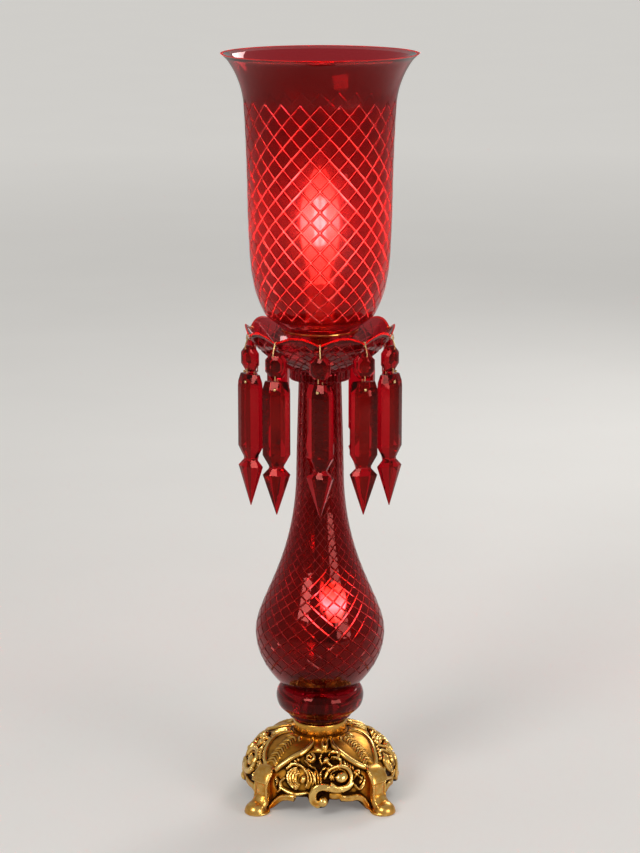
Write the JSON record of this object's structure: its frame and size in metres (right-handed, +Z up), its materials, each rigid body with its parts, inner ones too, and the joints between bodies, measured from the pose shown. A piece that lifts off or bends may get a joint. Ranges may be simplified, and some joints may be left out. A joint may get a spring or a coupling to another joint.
{
  "type": "table lamp",
  "caption": "Table lamp with a cut glass shade over a lobed glass dish of hanging prisms, on a cut glass stem and a cast brass base with feet.",
  "frame": {"origin": "on the table under the lamp's axis", "axes": "+Z up along the lamp's tube, -Y towards the front, where the first string of drops hangs"},
  "size_m": [0.174, 0.174, 0.6808],
  "materials": {
    "ruby_glass": "polished ruby glass, cut with crossing grooves on the shade and the stem",
    "cast_brass": "cast relief, polished on its high places and dark in its hollows",
    "polished_brass": "polished",
    "brass_wire": "bright drawn wire",
    "steel": "zinc plated",
    "cream_plastic": "plain tube",
    "black_plastic": "moulded",
    "frosted_glass": "frosted bulb"
  },
  "bodies": {
    "lamp": {"cast_base": "cast_brass", "brass_collar": "polished_brass", "glass_knop": "ruby_glass", "glass_stem": "ruby_glass", "drip_dish": "ruby_glass", "shade_gallery": "polished_brass", "lamp_tube": "steel", "base_washer": "steel", "base_nut": "steel", "cord_bushing": "black_plastic", "drip_disc": "polished_brass", "check_nut": "polished_brass", "lampholder": "black_plastic", "candle_sleeve": "cream_plastic", "night_light_bracket": "polished_brass", "night_light_holder": "black_plastic", "night_light_bulb": "frosted_glass"},
    "shade": {"glass_shade": "ruby_glass"},
    "bulb": {"bulb_cap": "polished_brass", "bulb_glass": "frosted_glass"},
    "upper_string_01": {"hook_pin_01": "brass_wire", "bead_01": "ruby_glass"},
    "lower_string_01": {"link_pin_01": "brass_wire", "prism_01": "ruby_glass"},
    "upper_string_02": {"hook_pin_02": "brass_wire", "bead_02": "ruby_glass"},
    "lower_string_02": {"link_pin_02": "brass_wire", "prism_02": "ruby_glass"},
    "upper_string_03": {"hook_pin_03": "brass_wire", "bead_03": "ruby_glass"},
    "lower_string_03": {"link_pin_03": "brass_wire", "prism_03": "ruby_glass"},
    "upper_string_04": {"hook_pin_04": "brass_wire", "bead_04": "ruby_glass"},
    "lower_string_04": {"link_pin_04": "brass_wire", "prism_04": "ruby_glass"},
    "upper_string_05": {"hook_pin_05": "brass_wire", "bead_05": "ruby_glass"},
    "lower_string_05": {"link_pin_05": "brass_wire", "prism_05": "ruby_glass"},
    "upper_string_06": {"hook_pin_06": "brass_wire", "bead_06": "ruby_glass"},
    "lower_string_06": {"link_pin_06": "brass_wire", "prism_06": "ruby_glass"},
    "upper_string_07": {"hook_pin_07": "brass_wire", "bead_07": "ruby_glass"},
    "lower_string_07": {"link_pin_07": "brass_wire", "prism_07": "ruby_glass"},
    "upper_string_08": {"hook_pin_08": "brass_wire", "bead_08": "ruby_glass"},
    "lower_string_08": {"link_pin_08": "brass_wire", "prism_08": "ruby_glass"},
    "upper_string_09": {"hook_pin_09": "brass_wire", "bead_09": "ruby_glass"},
    "lower_string_09": {"link_pin_09": "brass_wire", "prism_09": "ruby_glass"},
    "upper_string_10": {"hook_pin_10": "brass_wire", "bead_10": "ruby_glass"},
    "lower_string_10": {"link_pin_10": "brass_wire", "prism_10": "ruby_glass"}
  },
  "joints": [
    {"name": "shade_lift", "type": "slide", "parent": "lamp", "child": "shade", "axis": [0, 0, 1], "range_m": [0, 0.16]},
    {"name": "bulb_unscrew", "type": "slide", "parent": "lamp", "child": "bulb", "axis": [0, 0, 1], "range_m": [0, 0.03]},
    {"name": "bead_swing_01", "type": "hinge", "parent": "lamp", "child": "upper_string_01", "pos_m": [0, -0.06518, 0.43303], "axis": [-1, 0, 0], "range_deg": [-4, 60]},
    {"name": "prism_sway_01", "type": "hinge", "parent": "upper_string_01", "child": "lower_string_01", "pos_m": [0, -0.06518, 0.40523], "axis": [0, -1, 0], "range_deg": [-9, 9]},
    {"name": "bead_swing_02", "type": "hinge", "parent": "lamp", "child": "upper_string_02", "pos_m": [0.03831, -0.05273, 0.43303], "axis": [-0.809, -0.5878, 0], "range_deg": [-4, 60]},
    {"name": "prism_sway_02", "type": "hinge", "parent": "upper_string_02", "child": "lower_string_02", "pos_m": [0.03831, -0.05273, 0.40523], "axis": [0.5878, -0.809, 0], "range_deg": [-9, 9]},
    {"name": "bead_swing_03", "type": "hinge", "parent": "lamp", "child": "upper_string_03", "pos_m": [0.06199, -0.02014, 0.43303], "axis": [-0.309, -0.9511, 0], "range_deg": [-4, 60]},
    {"name": "prism_sway_03", "type": "hinge", "parent": "upper_string_03", "child": "lower_string_03", "pos_m": [0.06199, -0.02014, 0.40523], "axis": [0.9511, -0.309, 0], "range_deg": [-9, 9]},
    {"name": "bead_swing_04", "type": "hinge", "parent": "lamp", "child": "upper_string_04", "pos_m": [0.06199, 0.02014, 0.43303], "axis": [0.309, -0.9511, 0], "range_deg": [-4, 60]},
    {"name": "prism_sway_04", "type": "hinge", "parent": "upper_string_04", "child": "lower_string_04", "pos_m": [0.06199, 0.02014, 0.40523], "axis": [0.9511, 0.309, 0], "range_deg": [-9, 9]},
    {"name": "bead_swing_05", "type": "hinge", "parent": "lamp", "child": "upper_string_05", "pos_m": [0.03831, 0.05273, 0.43303], "axis": [0.809, -0.5878, 0], "range_deg": [-4, 60]},
    {"name": "prism_sway_05", "type": "hinge", "parent": "upper_string_05", "child": "lower_string_05", "pos_m": [0.03831, 0.05273, 0.40523], "axis": [0.5878, 0.809, 0], "range_deg": [-9, 9]},
    {"name": "bead_swing_06", "type": "hinge", "parent": "lamp", "child": "upper_string_06", "pos_m": [0, 0.06518, 0.43303], "axis": [1, 0, 0], "range_deg": [-4, 60]},
    {"name": "prism_sway_06", "type": "hinge", "parent": "upper_string_06", "child": "lower_string_06", "pos_m": [0, 0.06518, 0.40523], "axis": [0, 1, 0], "range_deg": [-9, 9]},
    {"name": "bead_swing_07", "type": "hinge", "parent": "lamp", "child": "upper_string_07", "pos_m": [-0.03831, 0.05273, 0.43303], "axis": [0.809, 0.5878, 0], "range_deg": [-4, 60]},
    {"name": "prism_sway_07", "type": "hinge", "parent": "upper_string_07", "child": "lower_string_07", "pos_m": [-0.03831, 0.05273, 0.40523], "axis": [-0.5878, 0.809, 0], "range_deg": [-9, 9]},
    {"name": "bead_swing_08", "type": "hinge", "parent": "lamp", "child": "upper_string_08", "pos_m": [-0.06199, 0.02014, 0.43303], "axis": [0.309, 0.9511, 0], "range_deg": [-4, 60]},
    {"name": "prism_sway_08", "type": "hinge", "parent": "upper_string_08", "child": "lower_string_08", "pos_m": [-0.06199, 0.02014, 0.40523], "axis": [-0.9511, 0.309, 0], "range_deg": [-9, 9]},
    {"name": "bead_swing_09", "type": "hinge", "parent": "lamp", "child": "upper_string_09", "pos_m": [-0.06199, -0.02014, 0.43303], "axis": [-0.309, 0.9511, 0], "range_deg": [-4, 60]},
    {"name": "prism_sway_09", "type": "hinge", "parent": "upper_string_09", "child": "lower_string_09", "pos_m": [-0.06199, -0.02014, 0.40523], "axis": [-0.9511, -0.309, 0], "range_deg": [-9, 9]},
    {"name": "bead_swing_10", "type": "hinge", "parent": "lamp", "child": "upper_string_10", "pos_m": [-0.03831, -0.05273, 0.43303], "axis": [-0.809, 0.5878, 0], "range_deg": [-4, 60]},
    {"name": "prism_sway_10", "type": "hinge", "parent": "upper_string_10", "child": "lower_string_10", "pos_m": [-0.03831, -0.05273, 0.40523], "axis": [-0.5878, -0.809, 0], "range_deg": [-9, 9]}
  ]
}
